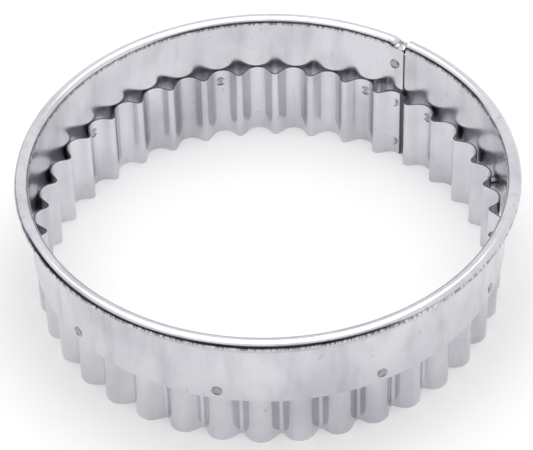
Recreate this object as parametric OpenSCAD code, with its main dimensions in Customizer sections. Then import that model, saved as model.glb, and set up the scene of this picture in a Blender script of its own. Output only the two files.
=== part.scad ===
// Fluted round biscuit cutter: a plain sheet band with a rolled rim, and a fluted cutting strip
// spot-welded inside its lower edge. Millimetres, +Z up, the cutting edge lies in the plane z = 0
// and the ring's axis is the Z axis. Each sheet closes on itself with a lap at the seam.

/* [Band] */
// Inside diameter of the plain band
band_bore = 100; // [80:1:200]
// Height of the band, from its lower edge to the top of the rolled rim
band_h = 18.5; // [14:0.5:40]
// Thickness of the band's sheet
band_sheet = 0.3; // [0.2:0.05:0.5]
// Length by which the band's ends overlap at the seam
band_lap = 4.5; // [3.5:0.5:8]

/* [Rolled rim] */
// Diameter of the rolled rim
rim_d = 3; // [2.4:0.1:5]
// Slit between the rolled edge and the band's wall
rim_slit = 0.1; // [0.05:0.05:0.3]
// Gap between the two ends of the rolled rim
rim_gap = 0.3; // [0.1:0.1:1]

/* [Fluted strip] */
// Height of the fluted strip, from the cutting edge to its top edge
strip_h = 17.7; // [12:0.1:40]
// Thickness of the strip's sheet
strip_sheet = 0.3; // [0.2:0.05:0.5]
// Number of flutes round the ring
flutes = 37; // [30:1:44]
// Depth of a flute, from crest to valley
flute_depth = 2.65; // [1.5:0.05:3.5]
// Radius of a crest, at the middle of the sheet
crest_r = 3.1; // [2:0.1:3.5]
// Radius of a valley, at the middle of the sheet
valley_r = 0.9; // [0.6:0.1:1.5]
// Distance by which each valley leans out of the middle between two crests
flute_lean = 0.15; // [0:0.05:0.3]
// Length by which the strip's ends overlap at the seam
strip_lap = 3.6; // [3:0.1:5]

/* [Assembly] */
// Height by which the band reaches down over the strip
band_over_strip = 5.2; // [4:0.1:10]
// Clearance between the strip's crests and the band's wall
crest_gap = 0.05; // [0.02:0.01:0.15]
// Clearance between the two layers of a lap
lap_gap = 0.05; // [0.02:0.01:0.15]
// Direction of the seam, seen from above and counted from +X
seam_at = 52; // [0:1:359]
// Angle from the seam's edge to the middle of the crest that the lap lies on
seam_crest = 1; // [0:0.1:2]

/* [Spot welds] */
// Diameter of a weld's mark
weld_d = 2.3; // [1.5:0.1:3]
// Number of crests from one weld to the next
weld_every = 4; // [2:1:6]
// Height of the welds that join band and strip, above the band's lower edge
weld_rise = 2.1; // [1.5:0.1:5]
// Depth of the dish that the electrode leaves in a weld
weld_dish = 0.12; // [0.05:0.01:0.2]
// Height of a weld's rim above the sheet
weld_proud = 0.05; // [0:0.01:0.1]
// Height of the weld low on the strip's seam, above the cutting edge
low_weld_z = 3.3; // [2:0.1:8]
// Distance of the weld high on the band's seam below the top of the rim
high_weld_drop = 6.2; // [5:0.1:10]

/* [Hidden] */

band_foot = strip_h - band_over_strip;
rim_z = band_foot + band_h - rim_d / 2;
bore_r = band_bore / 2;
round_fn = 240;
weld_fn = 48;
dish_fn = 200;
arc_step = 14;
// Reach of a cutting tool past the piece that it cuts
past = 5;

// The band closes as a slight spiral of two half circles. At the seam the left end lies inside the
// right one by the sheet and the clearance, so the left half circle is smaller by half of this step.
band_step = band_sheet + lap_gap;
left_r = bore_r - band_step / 2;
left_x = -band_step / 2;
band_lap_angle = deg(band_lap, bore_r);

// The strip's flutes run round the axis of the band's left half, which all its crests can touch.
crest_reach = left_r - crest_gap - strip_sheet / 2;
valley_reach = crest_reach - flute_depth;
pitch = 360 / flutes;
strip_lap_angle = deg(strip_lap, crest_reach);
// The strip's inner end lies under its outer end by this step, and comes out again past the lap.
strip_step = strip_sheet + lap_gap;
step_start = strip_lap_angle + deg(1, crest_reach);
step_end = strip_lap_angle + pitch / 2;

// Crest and valley arcs are kept small enough to leave a flank between them.
half_pitch = PI * valley_reach / flutes - flute_lean;
most_round = 0.97 * (pow(flute_depth, 2) + pow(half_pitch, 2)) / (2 * flute_depth);
round_share = min(1, most_round / (crest_r + valley_r));
crest_round = crest_r * round_share;
valley_round = valley_r * round_share;

function deg(length, r) = length / r * 180 / PI;
function polar(r, a) = [r * cos(a), r * sin(a)];
function direction(v) = atan2(v.y, v.x);

// Directions of crests and valleys, and the centres of their arcs
function crest_at(k) = seam_crest + k * pitch;
function valley_at(k) = crest_at(k) + pitch / 2 + deg(flute_lean, valley_reach);
function crest_centre(k) = polar(crest_reach - crest_round, crest_at(k));
function valley_centre(k) = polar(valley_reach + valley_round, valley_at(k));

// Direction square to the flank that touches both arcs, on the crest's outer side
function flank_normal(crest, valley, side) =
    let (v = valley - crest)
    direction(v) + side * acos((crest_round + valley_round) / norm(v));

// Points along an arc, each with the direction square to the sheet there. A negative radius gives
// the hollow side, where the sheet bends round a centre outside the ring.
function arc(centre, r, from, to) =
    let (steps = ceil(abs(to - from) / arc_step))
    [for (i = [0 : steps])
        let (a = from + (to - from) * i / steps)
        concat(centre + polar(r, a), a)];

// One flute in a frame turned to its crest: the crest's arc, then the arc of the valley after it
function flute() =
    let (falls = flank_normal(crest_turned, valley_turned, -1))
    let (rises = flank_normal(crest_turned, valley_before, 1))
    concat(
        arc(crest_turned, crest_round, rises, falls),
        arc(valley_turned, -valley_round, falls, rises + pitch)
    );
crest_turned = [crest_reach - crest_round, 0];
valley_turned = polar(valley_reach + valley_round, valley_at(0) - crest_at(0));
valley_before = polar(valley_reach + valley_round, valley_at(-1) - crest_at(0));

// The whole run as entries of angle round the ring, radius, and direction square to the sheet
one_flute = flute();
run = [for (k = [-1 : flutes + 1])
    for (p = one_flute)
        [crest_at(k) + atan2(p.y, p.x), norm([p.x, p.y]), crest_at(k) + p.z]];
radius_table = [for (p = run) [p.x, p.y]];
normal_table = [for (p = run) [p.x, p.z]];
function run_at(a) = [a, lookup(a, radius_table), lookup(a, normal_table)];

// The strip's own stretch of that run, from its inner end to its outer end
strip_end = 360 + strip_lap_angle;
strip_run = concat(
    [run_at(0)],
    [for (p = run) if (p.x > 0.01 && p.x < strip_end - 0.01) p],
    [run_at(strip_end)]
);

// How far the sheet lies inside its run: a full step under the lap, then none
function ease(t) = let (u = min(1, max(0, t))) u * u * (3 - 2 * u);
function inset(a) = strip_step * (1 - ease((a - step_start) / (step_end - step_start)));

function strip_side(side) = [for (p = strip_run)
    polar(p.y, p.x) + polar(side * strip_sheet / 2 - inset(p.x), p.z)];
function reversed(list) = [for (i = [len(list) - 1 : -1 : 0]) list[i]];

// Places of the welds, as directions round the strip's axis
seam_weld = strip_lap_angle / 2;
weld_crests = concat([for (k = [1 : weld_every : flutes - 2]) k], [flutes - 1]);
weld_angles = concat([seam_weld], [for (k = weld_crests) crest_at(k)]);
weld_z = band_foot + weld_rise;
high_weld_z = band_foot + band_h - high_weld_drop;

// Distance from the strip's axis to the faces of the sheets, at a direction a
function band_outside(a) = a < 180 && a > band_lap_angle
    ? left_r + band_sheet
    : bore_r + band_sheet + band_step / 2 * cos(a);
function band_inside(a) = a < 180 ? left_r : band_outside(a) - band_sheet;
function strip_outside(a) = run_at(a < 180 ? a + 360 : a).y + strip_sheet / 2;
function strip_inside(a) = run_at(a).y - strip_sheet / 2 - inset(a);

module at_seam() rotate([0, 0, seam_at]) children();
module at_strip_axis() translate([left_x, 0, 0]) children();

// Section of the band: the wall, and the curl that turns out and down to meet it again
module band_section(r) {
    curl_r = rim_d / 2;
    slit_at = 180 + acos((curl_r - band_sheet - rim_slit) / curl_r);
    translate([r, band_foot]) square([band_sheet, rim_z - band_foot]);
    translate([r + curl_r, rim_z]) difference() {
        circle(r = curl_r, $fn = weld_fn);
        circle(r = curl_r - band_sheet, $fn = weld_fn);
        polygon([[0, 0], [-rim_d, 0], polar(rim_d, slit_at)]);
    }
}

module band_right_half() {
    notch_z = rim_z - rim_d / 2 - rim_slit;
    difference() {
        rotate([0, 0, 180])
            rotate_extrude(angle = 180 + band_lap_angle, $fn = round_fn)
                band_section(bore_r);
        // The rolled rim isn't doubled, so the outer end's upper corner is cut away
        translate([bore_r - past, -rim_gap, notch_z])
            cube([rim_d + 2 * past, band_lap + rim_gap + past, rim_d + past]);
    }
}

module band_left_half() {
    at_strip_axis()
        rotate_extrude(angle = 180, $fn = round_fn)
            band_section(left_r);
}

// A weld at direction a and height z, between two distances from the strip's axis
module weld(a, z, inner, outer) {
    dish_r = (pow(weld_d / 2, 2) + pow(weld_dish, 2)) / (2 * weld_dish);
    length = outer - inner;
    at_strip_axis() rotate([0, 0, a]) translate([inner, 0, z]) rotate([0, 90, 0]) difference() {
        cylinder(d = weld_d, h = length, $fn = weld_fn);
        translate([0, 0, weld_dish - dish_r]) sphere(r = dish_r, $fn = dish_fn);
        translate([0, 0, length - weld_dish + dish_r]) sphere(r = dish_r, $fn = dish_fn);
    }
}

// The hole that a weld fills in the sheets
module weld_seat(a, z, inner, outer) {
    at_strip_axis() rotate([0, 0, a]) translate([inner, 0, z]) rotate([0, 90, 0])
        cylinder(d = weld_d, h = outer - inner, $fn = weld_fn);
}

// A crest falls away from its middle, so the welds start this much deeper to reach its face
crest_fall = crest_round - sqrt(pow(crest_round, 2) - pow(weld_d / 2, 2));

module band_to_strip_welds() {
    color("gainsboro") at_seam()
        for (a = weld_angles)
            weld(a, weld_z, strip_inside(a) - crest_fall, band_outside(a) + weld_proud);
}

module band_seam_weld() {
    a = band_lap_angle / 2;
    color("gainsboro") at_seam()
        weld(a, high_weld_z, band_inside(a) - weld_proud, band_outside(a) + weld_proud);
}

module strip_seam_weld() {
    color("gainsboro") at_seam()
        weld(seam_weld, low_weld_z, strip_inside(seam_weld) - crest_fall,
            strip_outside(seam_weld) + weld_proud);
}

module rolled_rim_band() {
    color("silver") at_seam() difference() {
        union() {
            band_right_half();
            band_left_half();
        }
        for (a = weld_angles)
            weld_seat(a, weld_z, band_inside(a) - past / 2, band_outside(a) + past);
        weld_seat(band_lap_angle / 2, high_weld_z, left_r - past, bore_r + past);
    }
}

module fluted_strip() {
    color("lightgray") at_seam() difference() {
        at_strip_axis() linear_extrude(height = strip_h)
            polygon(concat(strip_side(1), reversed(strip_side(-1))));
        for (a = weld_angles)
            weld_seat(a, weld_z, strip_inside(a) - past, band_outside(a) + past);
        weld_seat(seam_weld, low_weld_z, strip_inside(seam_weld) - past, bore_r + past);
    }
}

rolled_rim_band();
fluted_strip();
band_to_strip_welds();
band_seam_weld();
strip_seam_weld();
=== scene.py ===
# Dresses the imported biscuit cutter: two formed sheets, the weld marks, a tin finish and a white studio
import math

import bpy
from mathutils import Matrix, Quaternion, Vector


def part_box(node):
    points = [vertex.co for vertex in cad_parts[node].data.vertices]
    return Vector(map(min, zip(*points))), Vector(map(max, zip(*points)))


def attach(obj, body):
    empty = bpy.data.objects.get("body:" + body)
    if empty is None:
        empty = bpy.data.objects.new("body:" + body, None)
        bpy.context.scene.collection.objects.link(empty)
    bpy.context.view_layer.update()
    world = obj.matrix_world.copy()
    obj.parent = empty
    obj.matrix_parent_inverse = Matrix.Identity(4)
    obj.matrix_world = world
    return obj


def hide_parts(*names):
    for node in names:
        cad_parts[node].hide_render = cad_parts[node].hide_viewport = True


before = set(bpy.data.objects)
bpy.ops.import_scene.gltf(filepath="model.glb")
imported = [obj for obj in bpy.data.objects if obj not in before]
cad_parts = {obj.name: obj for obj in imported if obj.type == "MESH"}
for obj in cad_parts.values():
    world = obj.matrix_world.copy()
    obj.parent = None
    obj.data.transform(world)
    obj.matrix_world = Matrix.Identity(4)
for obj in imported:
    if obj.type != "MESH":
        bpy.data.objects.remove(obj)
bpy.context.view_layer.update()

bl_info = {
    "name": "Fluted Biscuit Cutter",
    "version": (1, 0, 0),
    "blender": (4, 5, 0),
    "location": "3D View > Sidebar > Cutter",
    "description": "Forms the two sheets and the weld marks of a fluted biscuit cutter",
    "category": "Add Mesh",
}

MM = 0.001
BAND_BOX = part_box("rolled_rim_band")
STRIP_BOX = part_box("fluted_strip")

# Faces of the flat blanks, along and across, and steps of a flute's two arcs
BAND_FACES = (720, 46)
BAND_END_FACES = (12, 6)
STRIP_ROWS = 8
CREST_STEPS = 16
VALLEY_STEPS = 12
# Share of the band's blank that is its wall; the rest is rolled into the rim
WALL_SHARE = 0.22
# Points closer than this angle to an end of the strip are left out
SLIVER = 0.0002
# Length past the lap after which the strip's inner end starts to come out again
STEP_DELAY = 1 * MM
# Faces that meet at less than this angle look like one smooth surface
SMOOTH_ANGLE = math.radians(35)

# The left end of the rolled rim is pressed flatter next to the seam, and dented where that begins
PRESS_END = math.radians(3.4)
PRESS_EASE = math.radians(0.7)
PRESS_SHARE = 0.75
PRESS_FLATTER = 0.5
PRESS_WIDER = 0.12
DENT_AT = math.radians(3.6)
DENT_WIDTH = math.radians(0.5)
DENT_DEPTH = 0.12 * MM
# Heights of the rim's ragged band, from its middle, as shares of its radius: roll wrinkles bumped in, plus
# painted shade and dark reflection along the crease where the curl meets the wall
RIM_WRINKLE_SHADE_FROM = -0.2
RIM_WRINKLE_SHADE_TO = 0.5

# A weld's mark: a rim, a dish inside it and a small pip in the middle, with worn edges
WELD_SIDES = 40
WELD_RIM = 0.2 * MM
WELD_SLOPE = 0.2 * MM
WELD_DISH = 0.13 * MM
WELD_FLOOR = 0.55 * MM
WELD_PIP = 0.07 * MM
WELD_EDGE = 0.07 * MM
WELD_EDGE_STEPS = 3
WELD_EDGE_ANGLE = math.radians(12)
# Height of a mark above the sheet, and how far a crest falls away under its rim
WELD_PROUD = 0.12 * MM
CREST_FALL = 0.16 * MM

# Noise of the tin, as scale per metre, stretch along the axes, and detail
PATCHES = (55, (1, 1, 1), 3)
SCUFFS = (1500, (1, 1, 0.35), 5)
SPECKS = (900, (1, 1, 1), 2)
ROLL_WRINKLE_SHADE_NOISE = (1700, (1, 1, 0.3), 3)
STREAK_SCALE = 260
STREAK_DETAIL = 4
# Height over which that ragged band fades in and out, and the colour of its painted shade and dark reflection
RIM_WRINKLE_SHADE_FADE = 0.3 * MM
PAINTED_RIM_SHADE_COLOUR = (0.10, 0.10, 0.11, 1)
# Share of the tin's colour that cut edges and weld marks keep; the cut edges' darkness is raw steel plus
# painted shade of the shadowed gaps at the laps
EDGE_STEEL_AND_SHADOW_SHARE = 0.25
WELD_SHADE = 0.6
BUMP_STRENGTH = 0.35
BUMP_HEIGHT = 0.02 * MM

FLOOR_SIZE = 6
FLOOR_ROUGHNESS = 0.9
FLOOR_SHEEN = 0.1
# Added glow of the floor, and the world's strength as light and as seen
FLOOR_GLOW = 0.22
WORLD_FILL = 0.55
WORLD_SEEN = 1
SOFTBOX_SIZE = (1.8, 1.6)
SOFTBOX_AT = (0, 0.1, 1.4)
SOFTBOX_WATTS = 13
# Dark cards on the camera's side, upright and on the floor: name, size, place and turn
CARD_COLOUR = (0.012, 0.012, 0.014, 1)
UPRIGHT = math.pi / 2
CARDS = (
    ("dark_front_card", (2.4, 0.62), (0, -1.0, 0.31), (UPRIGHT, 0, 0)),
    ("dark_near_card", (2.4, 0.87), (0, -0.565, 0.0006), (0, 0, 0)),
    ("dark_left_card", (1.5, 0.5), (-1.0, -0.3, 0.25), (UPRIGHT, 0, UPRIGHT)),
    ("dark_near_left_card", (0.86, 1.0), (-0.57, -0.1, 0.0004), (0, 0, 0)),
)
# The camera that was fitted to the picture, with its place and aim from the middle of the rim
CAMERA_LENS = 179.35
CAMERA_SENSOR = 36
CAMERA_FROM = Vector((0, -418.25, 365.60)) * MM
CAMERA_AIM = Vector((-0.44, -7.55, -8.30)) * MM
CAMERA_ROLL = math.radians(-1.414)
CAMERA_RIM_DROP = 1.5 * MM


class CutterSizes(bpy.types.PropertyGroup):
    """Sizes of the cutter's sheets and welds"""
    bore: bpy.props.FloatProperty(
        name="Bore", description="Inside diameter of the band", default=100 * MM, unit="LENGTH")
    sheet: bpy.props.FloatProperty(
        name="Sheet", description="Thickness of both sheets", default=0.3 * MM, unit="LENGTH")
    rim: bpy.props.FloatProperty(
        name="Rim", description="Diameter of the rolled rim", default=3 * MM, unit="LENGTH")
    slit: bpy.props.FloatProperty(
        name="Slit", description="Gap between the rolled edge and the wall", default=0.1 * MM, unit="LENGTH")
    lap_gap: bpy.props.FloatProperty(
        name="Lap Gap", description="Clearance between the layers of a lap", default=0.05 * MM, unit="LENGTH")
    rim_gap: bpy.props.FloatProperty(
        name="Rim Gap", description="Gap between the ends of the rolled rim", default=0.3 * MM, unit="LENGTH")
    band_lap: bpy.props.FloatProperty(
        name="Band Lap", description="Overlap of the band's ends", default=4.5 * MM, unit="LENGTH")
    strip_lap: bpy.props.FloatProperty(
        name="Strip Lap", description="Overlap of the strip's ends", default=3.6 * MM, unit="LENGTH")
    flutes: bpy.props.IntProperty(name="Flutes", description="Number of flutes", default=37)
    depth: bpy.props.FloatProperty(
        name="Flute Depth", description="Depth from crest to valley", default=2.65 * MM, unit="LENGTH")
    crest: bpy.props.FloatProperty(
        name="Crest Radius", description="Radius of a crest", default=3.1 * MM, unit="LENGTH")
    valley: bpy.props.FloatProperty(
        name="Valley Radius", description="Radius of a valley", default=0.9 * MM, unit="LENGTH")
    lean: bpy.props.FloatProperty(
        name="Flute Lean", description="Shift of each valley to one side", default=0.15 * MM, unit="LENGTH")
    seam_at: bpy.props.FloatProperty(
        name="Seam", description="Direction of the seam", default=math.radians(52), subtype="ANGLE")
    seam_crest: bpy.props.FloatProperty(
        name="Seam Crest", description="Angle from the seam to its crest", default=math.radians(1),
        subtype="ANGLE")
    weld: bpy.props.FloatProperty(
        name="Weld Mark", description="Diameter of a weld's mark", default=2.3 * MM, unit="LENGTH")
    weld_every: bpy.props.IntProperty(
        name="Weld Spacing", description="Number of crests from one weld to the next", default=4)
    weld_rise: bpy.props.FloatProperty(
        name="Weld Rise", description="Height of the welds above the band's lower edge", default=2.1 * MM,
        unit="LENGTH")
    high_weld: bpy.props.FloatProperty(
        name="High Weld", description="Distance of the band's seam weld below the rim's top",
        default=6.2 * MM, unit="LENGTH")
    low_weld: bpy.props.FloatProperty(
        name="Low Weld", description="Height of the strip's seam weld above the cutting edge",
        default=3.3 * MM, unit="LENGTH")


class CutterFinish(bpy.types.PropertyGroup):
    """Colours and gloss of the tinned sheet"""
    tin: bpy.props.FloatVectorProperty(
        name="Tin", description="Colour of the bright tin", subtype="COLOR", size=3,
        default=(0.68, 0.68, 0.72))
    worn: bpy.props.FloatVectorProperty(
        name="Worn Tin", description="Colour of rubbed and stained tin", subtype="COLOR", size=3,
        default=(0.48, 0.48, 0.52))
    gloss: bpy.props.FloatProperty(
        name="Roughness", description="Roughness of the brightest tin", default=0.14, subtype="FACTOR")
    floor: bpy.props.FloatVectorProperty(
        name="Floor", description="Colour of the studio floor", subtype="COLOR", size=3,
        default=(0.86, 0.86, 0.86))


class CutterShape:
    """Places worked out once from the sizes"""

    def __init__(self, sizes):
        self.s = sizes
        # The band is a slight spiral of two half circles: its left end lies inside the right one
        self.bore_r = sizes.bore / 2
        self.step = sizes.sheet + sizes.lap_gap
        self.left_r = self.bore_r - self.step / 2
        self.left_x = -self.step / 2
        self.foot = BAND_BOX[0].z
        self.top = BAND_BOX[1].z
        self.rim_r = sizes.rim / 2
        self.rim_z = self.top - self.rim_r
        self.band_lap = sizes.band_lap / self.bore_r
        self.rim_gap = sizes.rim_gap / self.bore_r
        # The strip runs round the axis of the band's left half
        self.strip_top = STRIP_BOX[1].z
        self.reach = self.left_r - sizes.lap_gap - sizes.sheet / 2
        self.pitch = 2 * math.pi / sizes.flutes
        self.strip_lap = sizes.strip_lap / self.reach
        self.seam_turn = Matrix.Rotation(sizes.seam_at, 4, "Z")

    def point(self, r, a, z, off_axis=True):
        """A point at radius r, angle a from the seam and height z, round the strip's axis or the bore's"""
        shift = self.left_x if off_axis else 0
        return self.seam_turn @ Vector((r * math.cos(a) + shift, r * math.sin(a), z))

    def crest_at(self, k):
        """Direction of a crest, counted from the seam"""
        return self.s.seam_crest + k * self.pitch

    def flute_run(self):
        """The strip's middle line once round, as angle, radius and direction square to the sheet"""
        s = self.s
        crest = Vector((self.reach - s.crest, 0))
        valley_reach = self.reach - s.depth + s.valley
        lean = s.lean / (self.reach - s.depth)
        after = self.pitch / 2 + lean
        before = after - self.pitch
        valley = Vector((valley_reach * math.cos(after), valley_reach * math.sin(after)))
        valley_before = Vector((valley_reach * math.cos(before), valley_reach * math.sin(before)))

        def flank(other, side):
            """Direction square to the flank that touches the crest's arc and a valley's"""
            v = other - crest
            return math.atan2(v.y, v.x) + side * math.acos(min(1, (s.crest + s.valley) / v.length))

        falls = flank(valley, -1)
        rises = flank(valley_before, 1)
        line = arc(crest, s.crest, rises, falls, CREST_STEPS)
        line += arc(valley, -s.valley, falls, rises + self.pitch, VALLEY_STEPS)
        run = []
        for k in range(-1, s.flutes + 2):
            turn = self.crest_at(k)
            for x, y, n in line:
                run.append((turn + math.atan2(y, x), math.hypot(x, y), turn + n))
        return run

    def strip_line(self):
        """The stretch of that run from the strip's inner end to its outer end"""
        run = self.flute_run()
        end = 2 * math.pi + self.strip_lap
        inner = [p for p in run if SLIVER < p[0] < end - SLIVER]
        return [between(run, 0)] + inner + [between(run, end)]

    def inset(self, a):
        """How far the strip's inner end lies inside its run"""
        start = self.strip_lap + STEP_DELAY / self.reach
        end = self.strip_lap + self.pitch / 2
        return self.step * (1 - ease((a - start) / (end - start)))


def ease(t):
    """A smooth step from 0 to 1"""
    u = min(1, max(0, t))
    return u * u * (3 - 2 * u)


def arc(centre, r, start, end, steps):
    """Points along an arc, each with the direction square to the sheet there"""
    points = []
    for i in range(steps + 1):
        a = start + (end - start) * i / steps
        points.append((centre.x + r * math.cos(a), centre.y + r * math.sin(a), a))
    return points


def between(run, a):
    """The run's entry at angle a"""
    for p, q in zip(run, run[1:]):
        if p[0] <= a <= q[0] and q[0] > p[0]:
            t = (a - p[0]) / (q[0] - p[0])
            return tuple(p[i] + (q[i] - p[i]) * t for i in range(3))
    raise RuntimeError("The strip's run doesn't reach its end")


def form_sheet(name, faces, place, thickness, face, edge):
    """Lays out a flat blank, rolls it into shape and gives it its thickness

    place gives the point for a share along the blank and a share across it. Cut edges get darker metal: raw
    steel, with painted shade for the shadowed gaps at the laps.
    """
    bpy.ops.object.select_all(action="DESELECT")
    bpy.ops.mesh.primitive_grid_add(x_subdivisions=faces[0], y_subdivisions=faces[1], size=1)
    piece = bpy.context.object
    piece.name = name
    piece.data.name = name
    for v in piece.data.vertices:
        v.co = place(v.co.x + 0.5, v.co.y + 0.5)
    piece.data.materials.append(face)
    piece.data.materials.append(edge)
    solid = piece.modifiers.new("Sheet", "SOLIDIFY")
    solid.thickness = thickness
    solid.offset = 0
    solid.material_offset_rim = 1
    bpy.ops.object.modifier_apply(modifier=solid.name)
    bpy.ops.object.shade_smooth_by_angle(angle=SMOOTH_ANGLE)
    return piece


def dress(piece, node):
    """Puts a finished piece in place of its node"""
    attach(piece, "root")
    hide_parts(node)


class TinNodes:
    """The few kinds of node that the tin finish is made of"""

    def __init__(self, tree):
        self.nodes = tree.nodes
        self.links = tree.links
        self.coords = self.nodes.new("ShaderNodeTexCoord").outputs["Object"]

    def noise(self, scale, stretch, detail):
        mapping = self.nodes.new("ShaderNodeMapping")
        mapping.inputs["Scale"].default_value = stretch
        self.links.new(self.coords, mapping.inputs["Vector"])
        texture = self.nodes.new("ShaderNodeTexNoise")
        texture.inputs["Scale"].default_value = scale
        texture.inputs["Detail"].default_value = detail
        self.links.new(mapping.outputs["Vector"], texture.inputs["Vector"])
        return texture.outputs["Fac"]

    def spread(self, value, low, high, to_low, to_high):
        """Maps a value from one span to another"""
        node = self.nodes.new("ShaderNodeMapRange")
        node.inputs["From Min"].default_value = low
        node.inputs["From Max"].default_value = high
        node.inputs["To Min"].default_value = to_low
        node.inputs["To Max"].default_value = to_high
        self.links.new(value, node.inputs["Value"])
        return node.outputs["Result"]

    def sum(self, a, b, operation="ADD"):
        node = self.nodes.new("ShaderNodeMath")
        node.operation = operation
        self.links.new(a, node.inputs[0])
        self.links.new(b, node.inputs[1])
        return node.outputs[0]

    def times(self, a, b):
        return self.sum(a, b, "MULTIPLY")

    def mix(self, factor, colour):
        """A mix towards a fixed colour, by the factor"""
        node = self.nodes.new("ShaderNodeMix")
        node.data_type = "RGBA"
        node.inputs["B"].default_value = colour
        self.links.new(factor, node.inputs["Factor"])
        return node


def tin_material(name, finish, streak, shade=1, marks=None):
    """Bright tin: soft streaks, rubbed patches, fine scuffs, and between two heights ragged roll wrinkles
    with painted shade and dark reflection in the colour
    """
    material = bpy.data.materials.new(name)
    material.use_nodes = True
    shader = material.node_tree.nodes["Principled BSDF"]
    shader.inputs["Metallic"].default_value = 1
    tin = TinNodes(material.node_tree)
    streaks = tin.noise(STREAK_SCALE, (1, 1, streak), STREAK_DETAIL)
    patches = tin.noise(*PATCHES)
    scuffs = tin.noise(*SCUFFS)
    stain = tin.sum(tin.spread(patches, 0.42, 0.72, 0, 0.7), tin.spread(streaks, 0.48, 0.75, 0, 0.5))
    fleck = tin.spread(tin.noise(*SPECKS), 0.68, 0.76, 0, 0.7)
    mix = tin.mix(tin.sum(stain, fleck), (*[c * shade for c in finish.worn], 1))
    mix.inputs["A"].default_value = (*[c * shade for c in finish.tin], 1)
    colour = mix.outputs["Result"]
    blur = tin.spread(streaks, 0.3, 0.7, finish.gloss, finish.gloss + 0.08)
    rough = tin.sum(blur, tin.spread(patches, 0.4, 0.8, 0, 0.10))
    tin.links.new(rough, shader.inputs["Roughness"])
    height = tin.sum(tin.spread(scuffs, 0, 1, 0, 0.25), tin.spread(streaks, 0, 1, 0, 0.9))
    # Between the given heights: ragged roll wrinkles in the bump, and painted shade and dark reflection in
    # the colour
    if marks:
        low, high = marks
        parts = tin.nodes.new("ShaderNodeSeparateXYZ")
        tin.links.new(tin.coords, parts.inputs["Vector"])
        rises = tin.spread(parts.outputs["Z"], low, low + RIM_WRINKLE_SHADE_FADE, 0, 1)
        falls = tin.spread(parts.outputs["Z"], high - RIM_WRINKLE_SHADE_FADE, high, 1, 0)
        ragged = tin.spread(tin.noise(*ROLL_WRINKLE_SHADE_NOISE), 0.42, 0.58, 0, 1)
        wrinkle_and_shade_mask = tin.times(tin.times(rises, falls), ragged)
        # Painted shade and dark reflection: the ragged band darkens the tin's colour towards near black
        dark = tin.mix(tin.spread(wrinkle_and_shade_mask, 0, 1, 0, 0.75), PAINTED_RIM_SHADE_COLOUR)
        tin.links.new(colour, dark.inputs["A"])
        colour = dark.outputs["Result"]
        height = tin.sum(height, tin.spread(wrinkle_and_shade_mask, 0, 1, 0, 3))
    tin.links.new(colour, shader.inputs["Base Color"])
    bump = tin.nodes.new("ShaderNodeBump")
    bump.inputs["Strength"].default_value = BUMP_STRENGTH
    bump.inputs["Distance"].default_value = BUMP_HEIGHT
    tin.links.new(height, bump.inputs["Height"])
    tin.links.new(bump.outputs["Normal"], shader.inputs["Normal"])
    return material


class CUTTER_OT_band(bpy.types.Operator):
    """Forms the band with its rolled rim and its lap"""
    bl_idname = "cutter.band"
    bl_label = "Form Band"

    def execute(self, context):
        sizes = context.scene.cutter_sizes
        finish = context.scene.cutter_finish
        shape = CutterShape(sizes)
        # The curl turns out and down from the wall's top until it nearly meets the wall again
        curl_r = shape.rim_r - sizes.sheet / 2
        slit = math.acos((shape.rim_r - sizes.sheet - sizes.slit) / shape.rim_r)
        sweep = 2 * math.pi - slit
        wall_h = shape.rim_z - shape.foot

        def section(v, r, flat):
            """Radius and height at a share across the blank; flat is how far the curl is pressed"""
            if v <= WALL_SHARE:
                return r + sizes.sheet / 2, shape.foot + wall_h * v / WALL_SHARE
            a = math.pi - sweep * (v - WALL_SHARE) / (1 - WALL_SHARE)
            out = curl_r * math.cos(a) * (1 + PRESS_WIDER * flat)
            up = curl_r * math.sin(a) * (1 - PRESS_FLATTER * flat)
            return r + shape.rim_r + out, shape.rim_z + up - PRESS_FLATTER * flat * curl_r

        def place(u, v):
            a = (2 * math.pi - shape.rim_gap) * u
            left = a < math.pi
            pressed = ease((PRESS_END - a) / PRESS_EASE)
            r, z = section(v, shape.left_r if left else shape.bore_r, PRESS_SHARE * pressed)
            if v > WALL_SHARE:
                r -= DENT_DEPTH * math.exp(-((a - DENT_AT) / DENT_WIDTH) ** 2)
            return shape.point(r, a, z, left)

        def place_end(u, v):
            """The outer end past the seam: wall only, because its upper corner is cut away"""
            a = shape.band_lap * u - shape.rim_gap
            high = shape.top - sizes.rim - sizes.slit
            r = shape.bore_r + sizes.sheet / 2
            return shape.point(r, a, shape.foot + (high - shape.foot) * v, False)

        # Heights of the rim's ragged band: bumped roll wrinkles and painted shade along the crease
        marks = (shape.rim_z + RIM_WRINKLE_SHADE_FROM * shape.rim_r, shape.rim_z + RIM_WRINKLE_SHADE_TO * shape.rim_r)
        face = tin_material("bright_tin_band", finish, 0.25, 1, marks)
        # Cut edges: raw steel, darkened further as painted shade of the lap's gap
        edge = tin_material("cut_edge_band", finish, 1, EDGE_STEEL_AND_SHADOW_SHARE)
        band = form_sheet("formed_band", BAND_FACES, place, sizes.sheet, face, edge)
        form_sheet("band_outer_end", BAND_END_FACES, place_end, sizes.sheet, face, edge)
        band.select_set(True)
        context.view_layer.objects.active = band
        bpy.ops.object.join()
        dress(band, "rolled_rim_band")
        return {"FINISHED"}


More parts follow.
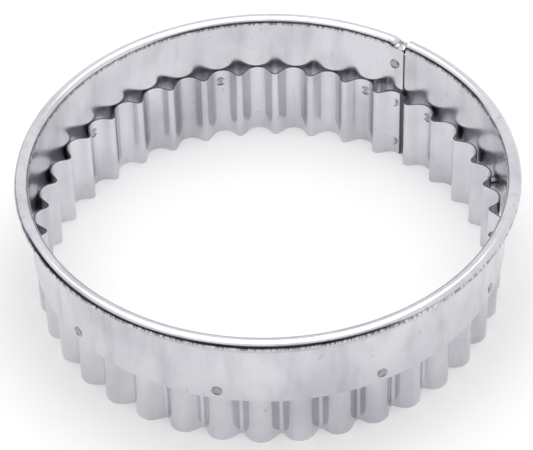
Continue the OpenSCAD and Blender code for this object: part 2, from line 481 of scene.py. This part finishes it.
class CUTTER_OT_strip(bpy.types.Operator):
    """Forms the fluted strip with its lap"""
    bl_idname = "cutter.strip"
    bl_label = "Form Strip"

    def execute(self, context):
        sizes = context.scene.cutter_sizes
        finish = context.scene.cutter_finish
        shape = CutterShape(sizes)
        line = shape.strip_line()
        steps = len(line) - 1

        def place(u, v):
            a, r, n = line[round(u * steps)]
            back = shape.inset(a)
            x = r * math.cos(a) - back * math.cos(n) + shape.left_x
            y = r * math.sin(a) - back * math.sin(n)
            return shape.seam_turn @ Vector((x, y, shape.strip_top * v))

        face = tin_material("bright_tin_strip", finish, 0.08)
        # Cut edges: raw steel, darkened further as painted shade of the lap's gap
        edge = tin_material("cut_edge_strip", finish, 1, EDGE_STEEL_AND_SHADOW_SHARE)
        strip = form_sheet("formed_strip", (steps, STRIP_ROWS), place, sizes.sheet, face, edge)
        dress(strip, "fluted_strip")
        return {"FINISHED"}


class CUTTER_OT_welds(bpy.types.Operator):
    """Makes the dished marks of the spot welds"""
    bl_idname = "cutter.welds"
    bl_label = "Make Weld Marks"

    def mark(self, shape, tin, name, a, z, inner, outer):
        """One weld, from the inner to the outer face of the sheets that it joins"""
        bpy.ops.object.select_all(action="DESELECT")
        bpy.ops.mesh.primitive_cylinder_add(
            vertices=WELD_SIDES, radius=shape.s.weld / 2, depth=outer - inner,
            location=shape.point((inner + outer) / 2, a, z),
            rotation=(0, math.pi / 2, a + shape.s.seam_at))
        piece = bpy.context.object
        piece.name = name
        bpy.ops.object.mode_set(mode="EDIT")
        bpy.ops.mesh.select_all(action="DESELECT")
        bpy.ops.mesh.select_mode(type="FACE")
        bpy.ops.object.mode_set(mode="OBJECT")
        for face in piece.data.polygons:
            face.select = abs(face.normal.z) > 0.9
        bpy.ops.object.mode_set(mode="EDIT")
        bpy.ops.mesh.inset(thickness=WELD_RIM, use_individual=True)
        bpy.ops.mesh.inset(thickness=WELD_SLOPE, use_individual=True)
        bpy.ops.transform.shrink_fatten(value=-WELD_DISH)
        bpy.ops.mesh.inset(thickness=WELD_FLOOR, use_individual=True)
        bpy.ops.transform.shrink_fatten(value=WELD_PIP)
        bpy.ops.object.mode_set(mode="OBJECT")
        bevel = piece.modifiers.new("Worn Edges", "BEVEL")
        bevel.width = WELD_EDGE
        bevel.segments = WELD_EDGE_STEPS
        bevel.angle_limit = WELD_EDGE_ANGLE
        bpy.ops.object.modifier_apply(modifier=bevel.name)
        bpy.ops.object.transform_apply(location=True, rotation=True, scale=True)
        bpy.ops.object.shade_smooth()
        piece.data.materials.append(tin)
        return piece

    def execute(self, context):
        sizes = context.scene.cutter_sizes
        shape = CutterShape(sizes)
        tin = tin_material("weld_tin", context.scene.cutter_finish, 1, WELD_SHADE)
        inside = shape.reach - sizes.sheet / 2 - CREST_FALL
        outside = shape.bore_r + sizes.sheet + WELD_PROUD
        half = shape.step / 2
        weld_z = shape.foot + sizes.weld_rise
        seam = shape.strip_lap / 2
        # From the strip's axis the band's outer face lies nearer on the left half, farther at the seam
        crests = list(range(1, sizes.flutes - 2, sizes.weld_every)) + [sizes.flutes - 1]
        for k in crests:
            a = shape.crest_at(k)
            side = -half if a < math.pi else half * math.cos(a)
            piece = self.mark(shape, tin, f"weld_{k:02d}", a, weld_z, inside, outside + side)
            dress(piece, "band_to_strip_welds")
        piece = self.mark(shape, tin, "weld_seam", seam, weld_z, inside - shape.step, outside + half)
        dress(piece, "band_to_strip_welds")
        high_in = shape.left_r - half - 0.5 * WELD_PROUD
        high_z = shape.top - sizes.high_weld
        piece = self.mark(shape, tin, "weld_band_high", shape.band_lap / 2, high_z, high_in, outside + half)
        dress(piece, "band_seam_weld")
        low_out = shape.reach + sizes.sheet / 2 + WELD_PROUD
        piece = self.mark(shape, tin, "weld_strip_low", seam, sizes.low_weld, inside - shape.step, low_out)
        dress(piece, "strip_seam_weld")
        return {"FINISHED"}


class CUTTER_OT_stage(bpy.types.Operator):
    """Sets the floor, the white studio, the dark cards, the lamp and the camera"""
    bl_idname = "cutter.stage"
    bl_label = "Set Stage"

    def as_seen(self, tree, as_light, seen):
        """One value for rays that light the scene, another for the camera's and those in metal and glass"""
        path = tree.nodes.new("ShaderNodeLightPath")
        value = path.outputs["Is Camera Ray"]
        for ray in ("Is Glossy Ray", "Is Transmission Ray"):
            most = tree.nodes.new("ShaderNodeMath")
            most.operation = "MAXIMUM"
            tree.links.new(value, most.inputs[0])
            tree.links.new(path.outputs[ray], most.inputs[1])
            value = most.outputs[0]
        scaled = tree.nodes.new("ShaderNodeMapRange")
        scaled.inputs["To Min"].default_value = as_light
        scaled.inputs["To Max"].default_value = seen
        tree.links.new(value, scaled.inputs["Value"])
        return scaled.outputs["Result"]

    def floor(self, colour):
        bpy.ops.object.select_all(action="DESELECT")
        bpy.ops.mesh.primitive_plane_add(size=FLOOR_SIZE)
        floor = bpy.context.object
        floor.name = "studio_floor"
        paper = bpy.data.materials.new("studio_paper")
        paper.use_nodes = True
        shader = paper.node_tree.nodes["Principled BSDF"]
        shader.inputs["Base Color"].default_value = (*colour, 1)
        shader.inputs["Roughness"].default_value = FLOOR_ROUGHNESS
        shader.inputs["Specular IOR Level"].default_value = FLOOR_SHEEN
        shader.inputs["Emission Color"].default_value = (1, 1, 1, 1)
        glow = self.as_seen(paper.node_tree, 0, FLOOR_GLOW)
        paper.node_tree.links.new(glow, shader.inputs["Emission Strength"])
        floor.data.materials.append(paper)

    def card(self, name, size, place, turn):
        """A plain dark card beside the set, seen only in reflections"""
        bpy.ops.mesh.primitive_plane_add(size=1, location=place, rotation=turn)
        card = bpy.context.object
        card.name = name
        card.scale = (size[0], size[1], 1)
        bpy.ops.object.transform_apply(location=True, rotation=True, scale=True)
        material = bpy.data.materials.new(name)
        material.use_nodes = True
        shader = material.node_tree.nodes["Principled BSDF"]
        shader.inputs["Base Color"].default_value = CARD_COLOUR
        shader.inputs["Roughness"].default_value = 1
        card.data.materials.append(material)
        card.visible_camera = False
        card.visible_diffuse = False
        card.visible_shadow = False

    def light(self, scene):
        world = bpy.data.worlds.new("white_studio")
        world.use_nodes = True
        background = world.node_tree.nodes["Background"]
        background.inputs["Color"].default_value = (1, 1, 1, 1)
        strength = self.as_seen(world.node_tree, WORLD_FILL, WORLD_SEEN)
        world.node_tree.links.new(strength, background.inputs["Strength"])
        scene.world = world
        lamp = bpy.data.lights.new("overhead_softbox", "AREA")
        lamp.shape = "RECTANGLE"
        lamp.size = SOFTBOX_SIZE[0]
        lamp.size_y = SOFTBOX_SIZE[1]
        lamp.energy = SOFTBOX_WATTS
        softbox = bpy.data.objects.new("overhead_softbox", lamp)
        softbox.location = SOFTBOX_AT
        scene.collection.objects.link(softbox)

    def camera(self, scene):
        lens = bpy.data.cameras.new("camera")
        lens.lens = CAMERA_LENS
        lens.sensor_width = CAMERA_SENSOR
        lens.sensor_fit = "HORIZONTAL"
        camera = bpy.data.objects.new("camera", lens)
        rim_middle = Vector((0, 0, BAND_BOX[1].z - CAMERA_RIM_DROP))
        aim = rim_middle + CAMERA_AIM
        camera.location = rim_middle + CAMERA_FROM
        look = (aim - camera.location).to_track_quat("-Z", "Y")
        camera.rotation_mode = "QUATERNION"
        camera.rotation_quaternion = look @ Quaternion((0, 0, 1), CAMERA_ROLL)
        scene.collection.objects.link(camera)
        scene.camera = camera
        scene.view_settings.view_transform = "Standard"

    def execute(self, context):
        self.floor(context.scene.cutter_finish.floor)
        self.light(context.scene)
        for name, size, place, turn in CARDS:
            self.card(name, size, place, turn)
        self.camera(context.scene)
        return {"FINISHED"}


class CUTTER_PT_panel(bpy.types.Panel):
    """Lists the cutter's operators and sizes"""
    bl_label = "Biscuit Cutter"
    bl_idname = "CUTTER_PT_panel"
    bl_space_type = "VIEW_3D"
    bl_region_type = "UI"
    bl_category = "Cutter"

    def draw(self, context):
        layout = self.layout
        for operator in OPERATORS:
            layout.operator(operator.bl_idname)
        for group in (context.scene.cutter_sizes, context.scene.cutter_finish):
            for key in group.bl_rna.properties.keys():
                if key not in {"rna_type", "name"}:
                    layout.prop(group, key)


OPERATORS = (CUTTER_OT_band, CUTTER_OT_strip, CUTTER_OT_welds, CUTTER_OT_stage)
CLASSES = (CutterSizes, CutterFinish, *OPERATORS, CUTTER_PT_panel)


def register():
    for cls in CLASSES:
        bpy.utils.register_class(cls)
    bpy.types.Scene.cutter_sizes = bpy.props.PointerProperty(type=CutterSizes)
    bpy.types.Scene.cutter_finish = bpy.props.PointerProperty(type=CutterFinish)


def unregister():
    del bpy.types.Scene.cutter_finish
    del bpy.types.Scene.cutter_sizes
    for cls in reversed(CLASSES):
        bpy.utils.unregister_class(cls)


def main():
    register()
    bpy.ops.cutter.band()
    bpy.ops.cutter.strip()
    bpy.ops.cutter.welds()
    bpy.ops.cutter.stage()


if __name__ == "__main__":
    main()
